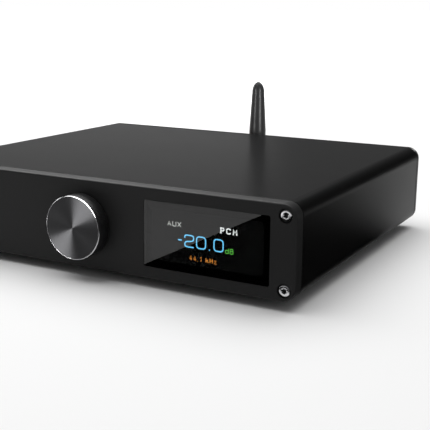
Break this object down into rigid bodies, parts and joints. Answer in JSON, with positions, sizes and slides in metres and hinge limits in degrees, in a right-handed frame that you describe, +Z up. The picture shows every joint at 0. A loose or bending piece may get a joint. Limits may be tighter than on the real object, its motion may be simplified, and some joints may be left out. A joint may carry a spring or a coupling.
{
  "type": "stereo receiver",
  "caption": "Compact desktop stereo receiver in a satin black metal case with a turning and pressing knob, glass display and folding antenna.",
  "frame": {"origin": "centre of the whole object on the table plane, under the rubber feet", "axes": "+X to the right seen from the front, -Y towards the front, +Z up"},
  "size_m": [0.1924, 0.1862, 0.07],
  "materials": {
    "anodised_case": "fine blasted black anodised aluminium, satin",
    "anodised_plate": "fine blasted black anodised aluminium, satin",
    "spun_aluminium": "black anodised, face turned in fine rings, rim edge cut bright",
    "turned_aluminium": "plain machined",
    "screw_steel": "bright machined",
    "dark_screw": "black zinc",
    "bright_steel": "nickel plated",
    "dark_ring": "black, turned",
    "foot_rubber": "matte",
    "dark_glass": "black tinted, polished",
    "display_black": "unlit display face",
    "black_plastic": "moulded",
    "black_gloss": "moulded, glossy",
    "red_gloss": "moulded, glossy",
    "white_plastic": "moulded",
    "orange_plastic": "moulded",
    "antenna_plastic": "satin rubbery plastic",
    "board_green": "solder mask",
    "brass_metal": "plain",
    "gold_plate": "gold plated",
    "capacitor_sleeve": "shrink sleeve",
    "ferrite": "pressed powder"
  },
  "bodies": {
    "chassis": {"case_sleeve": "anodised_case", "front_panel": "anodised_plate", "rear_panel": "anodised_case", "front_screws": "screw_steel", "rear_screws": "dark_screw", "rubber_feet": "foot_rubber", "foot_screws": "dark_screw", "display_glass": "dark_glass", "display_gasket": "black_plastic", "display_panel": "display_black", "front_board": "board_green", "front_board_spacers": "brass_metal", "front_board_screws": "screw_steel", "infrared_receiver": "black_gloss", "encoder_body": "bright_steel", "encoder_washer": "bright_steel", "encoder_nut": "brass_metal", "headphone_socket": "black_plastic", "headphone_ring": "dark_ring", "main_board": "board_green", "amplifier_chip": "black_gloss", "heat_spreader": "turned_aluminium", "capacitors": "capacitor_sleeve", "output_inductors": "ferrite", "logic_chips": "black_gloss", "wireless_module": "bright_steel", "ribbon_headers": "white_plastic", "ribbon_cable": "white_plastic", "antenna_socket": "gold_plate", "antenna_nut": "gold_plate", "antenna_lead": "black_plastic", "line_in_housing": "black_plastic", "line_in_sleeves": "gold_plate", "line_in_contacts": "white_plastic", "digital_housing": "black_plastic", "digital_sleeves": "gold_plate", "digital_contacts": "orange_plastic", "optical_socket": "black_plastic", "data_shell": "bright_steel", "data_tongue": "black_plastic", "power_inlet": "black_plastic", "power_pin": "bright_steel", "switch_housing": "black_plastic", "post_studs": "gold_plate", "black_post_bases": "black_gloss", "red_post_bases": "red_gloss", "post_nuts": "brass_metal"},
    "encoder_plunger": {"press_plunger": "white_plastic"},
    "knob": {"knob": "spun_aluminium", "encoder_shaft": "turned_aluminium", "knob_screw": "dark_screw"},
    "antenna_elbow": {"antenna_elbow": "antenna_plastic"},
    "antenna_mast": {"antenna_mast": "antenna_plastic", "antenna_pin": "bright_steel"},
    "power_rocker": {"power_rocker": "black_gloss"},
    "optical_shutter": {"optical_shutter": "black_plastic"},
    "thumb_nut_1": {"thumb_nut_1": "black_gloss"},
    "thumb_nut_2": {"thumb_nut_2": "black_gloss"},
    "thumb_nut_3": {"thumb_nut_3": "red_gloss"},
    "thumb_nut_4": {"thumb_nut_4": "red_gloss"}
  },
  "joints": [
    {"name": "knob_press", "type": "slide", "parent": "chassis", "child": "encoder_plunger", "axis": [0, 1, 0], "range_m": [0, 0.0005], "stiffness_N_per_m": 1500, "springref_m": -0.001},
    {"name": "knob_turn", "type": "hinge", "parent": "encoder_plunger", "child": "knob", "pos_m": [0, -0.08465, 0.023], "axis": [0, 1, 0], "continuous": true},
    {"name": "antenna_swivel", "type": "hinge", "parent": "chassis", "child": "antenna_elbow", "pos_m": [-0.0041, 0.07335, 0.023], "axis": [0, 1, 0], "range_deg": [-105, 105]},
    {"name": "antenna_tilt", "type": "hinge", "parent": "antenna_elbow", "child": "antenna_mast", "pos_m": [-0.0041, 0.08835, 0.023], "axis": [-1, 0, 0], "range_deg": [0, 90]},
    {"name": "power_rock", "type": "hinge", "parent": "chassis", "child": "power_rocker", "pos_m": [0.083, 0.07215, 0.023], "axis": [1, 0, 0], "range_deg": [0, 18]},
    {"name": "shutter_swing", "type": "hinge", "parent": "chassis", "child": "optical_shutter", "pos_m": [0.036, 0.0728, 0.0195], "axis": [-1, 0, 0], "range_deg": [0, 80], "stiffness_Nm_per_rad": 0.0003, "springref_deg": -11.46},
    {"name": "thumb_nut_turn_1", "type": "hinge", "parent": "chassis", "child": "thumb_nut_1", "pos_m": [-0.08102, 0.07335, 0.015], "axis": [0, 1, 0], "range_deg": [0, 1080]},
    {"name": "thumb_nut_turn_2", "type": "hinge", "parent": "chassis", "child": "thumb_nut_2", "pos_m": [-0.08102, 0.07335, 0.031], "axis": [0, 1, 0], "range_deg": [0, 1080]},
    {"name": "thumb_nut_turn_3", "type": "hinge", "parent": "chassis", "child": "thumb_nut_3", "pos_m": [-0.06198, 0.07335, 0.015], "axis": [0, 1, 0], "range_deg": [0, 1080]},
    {"name": "thumb_nut_turn_4", "type": "hinge", "parent": "chassis", "child": "thumb_nut_4", "pos_m": [-0.06198, 0.07335, 0.031], "axis": [0, 1, 0], "range_deg": [0, 1080]}
  ]
}
